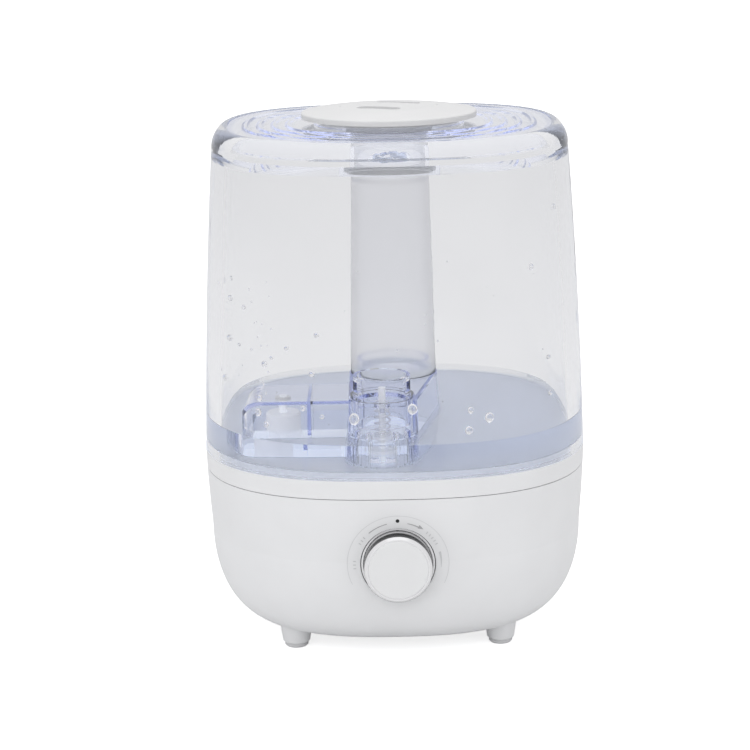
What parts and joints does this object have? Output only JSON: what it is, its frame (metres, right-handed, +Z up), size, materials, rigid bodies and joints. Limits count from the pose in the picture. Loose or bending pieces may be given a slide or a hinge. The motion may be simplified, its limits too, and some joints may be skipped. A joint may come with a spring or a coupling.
{
  "type": "cool mist humidifier",
  "caption": "Top-fill ultrasonic humidifier: clear rounded-square tank with a central mist tube, rippled lid and turning mist cap, on a white base with a round dial and four feet.",
  "frame": {"origin": "on the floor, at the foot pads' lower faces, under the middle of the outline with the dial included, which is 4.45 mm in front of the mist tube's axis, so the tube stands at y = +0.00445", "axes": "+Z up, the dial faces -Y, +X to the right of a person looking at the dial"},
  "size_m": [0.216, 0.2203, 0.2974],
  "materials": {
    "white_plastic": "semi-gloss moulded white",
    "cap_white": "satin white",
    "clear_plastic": "clear polished plastic",
    "clear_blue": "clear blue-tinted plastic",
    "milky_clear": "slightly milky clear plastic",
    "silicone": "translucent silicone",
    "rubber_grey": "soft grey rubber",
    "chrome": "bright plated",
    "steel": "plain steel",
    "spring_steel": "stainless wire",
    "aluminium": "cast and machined",
    "ceramic": "coated ceramic disc",
    "black_plastic": "black moulded",
    "board_green": "printed circuit board",
    "capacitor_black": "sleeved can",
    "ferrite": "ferrite core",
    "copper": "enamelled copper wire",
    "float_white": "off-white float"
  },
  "bodies": {
    "base": {"base_tray": "white_plastic", "deck": "white_plastic", "chimney": "white_plastic", "sump": "white_plastic", "float_post": "white_plastic", "valve_pin": "white_plastic", "base_housing": "white_plastic", "bottom_cover": "white_plastic", "foot_pads": "rubber_grey", "tray_screws": "steel", "cover_screws": "steel", "float_clip": "white_plastic", "transducer_disc": "ceramic", "transducer_gasket": "silicone", "transducer_holder": "aluminium", "transducer_screws": "steel", "fan_frame": "black_plastic", "fan_screws": "steel", "air_duct": "white_plastic", "main_board": "board_green", "board_screws": "steel", "heat_sink": "aluminium", "capacitors": "capacitor_black", "driver_coil": "ferrite", "coil_winding": "copper", "power_jack": "black_plastic", "knob_bezel": "chrome", "potentiometer": "steel", "control_board": "board_green"},
    "tank": {"tank_shell": "clear_plastic", "tank_floor": "clear_blue", "hood": "clear_blue", "float_chamber": "clear_blue", "mist_tube": "milky_clear", "tube_seal": "silicone", "valve_cage": "clear_blue"},
    "valve": {"valve_stem": "white_plastic", "valve_seal": "silicone", "valve_spring": "spring_steel"},
    "lid": {"lid": "clear_blue", "lid_neck": "clear_blue"},
    "cap": {"mist_cap": "cap_white", "cap_snap_ring": "white_plastic"},
    "float": {"float": "float_white"},
    "fan": {"fan_impeller": "black_plastic"},
    "dial": {"knob": "cap_white", "knob_ring": "chrome", "pot_shaft": "aluminium"}
  },
  "joints": [
    {"name": "tank_lift", "type": "slide", "parent": "base", "child": "tank", "axis": [0, 0, 1], "range_m": [0, 0.1]},
    {"name": "lid_lift", "type": "slide", "parent": "tank", "child": "lid", "axis": [0, 0, 1], "range_m": [0, 0.06]},
    {"name": "cap_turn", "type": "hinge", "parent": "lid", "child": "cap", "pos_m": [0, 0.00445, 0.29], "axis": [0, 0, 1], "continuous": true},
    {"name": "dial_turn", "type": "hinge", "parent": "base", "child": "dial", "pos_m": [0, -0.09555, 0.062], "axis": [0, 1, 0], "range_deg": [-75, 135]},
    {"name": "fan_spin", "type": "hinge", "parent": "base", "child": "fan", "pos_m": [0.05, 0.02045, 0.03], "axis": [0, 0, 1], "continuous": true},
    {"name": "float_slide", "type": "slide", "parent": "base", "child": "float", "axis": [0, 0, 1], "range_m": [0, 0.005]},
    {"name": "valve_slide", "type": "slide", "parent": "tank", "child": "valve", "axis": [0, 0, 1], "range_m": [-0.004, 0], "deforming": ["valve_spring"]}
  ],
  "couplings": [
    {"joint": "valve_slide", "follows": "tank_lift", "ratio": -0.04}
  ]
}
